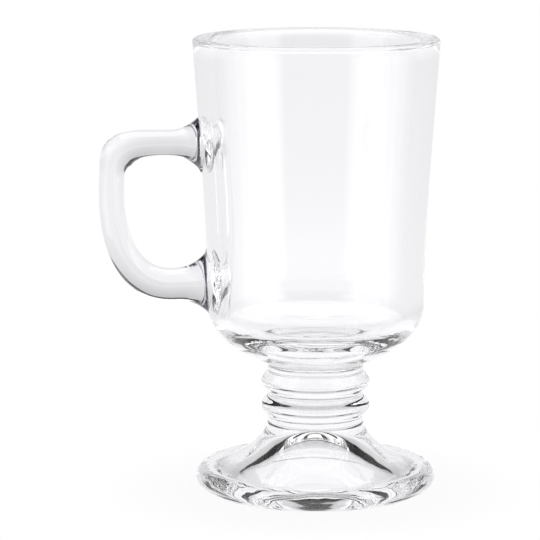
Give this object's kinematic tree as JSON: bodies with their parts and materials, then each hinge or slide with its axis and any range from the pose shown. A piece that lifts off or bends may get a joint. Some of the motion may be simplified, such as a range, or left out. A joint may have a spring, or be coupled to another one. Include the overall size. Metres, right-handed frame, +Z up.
{
  "type": "glass mulled wine mug",
  "caption": "Clear pressed-glass mug for hot drinks: thick flared bowl with a D-shaped side handle, a short ringed stem and a spreading hollow foot with a rounded edge.",
  "frame": {"origin": "on the table under the middle of the whole mug, handle included; the bowl's axis stands 14.55 mm along +X from it", "axes": "+Z up along the bowl's axis, -X towards the handle, +Y across the handle's plane, away from the picture's camera"},
  "size_m": [0.105, 0.076, 0.141],
  "materials": {
    "bowl": "clear colourless glass, polished by fire",
    "stem": "clear colourless glass, polished by fire",
    "foot": "clear colourless glass, polished by fire",
    "handle": "clear colourless glass, polished by fire"
  },
  "bodies": {
    "root": {"bowl": "bowl", "stem": "stem", "foot": "foot", "handle": "handle"}
  },
  "joints": []
}
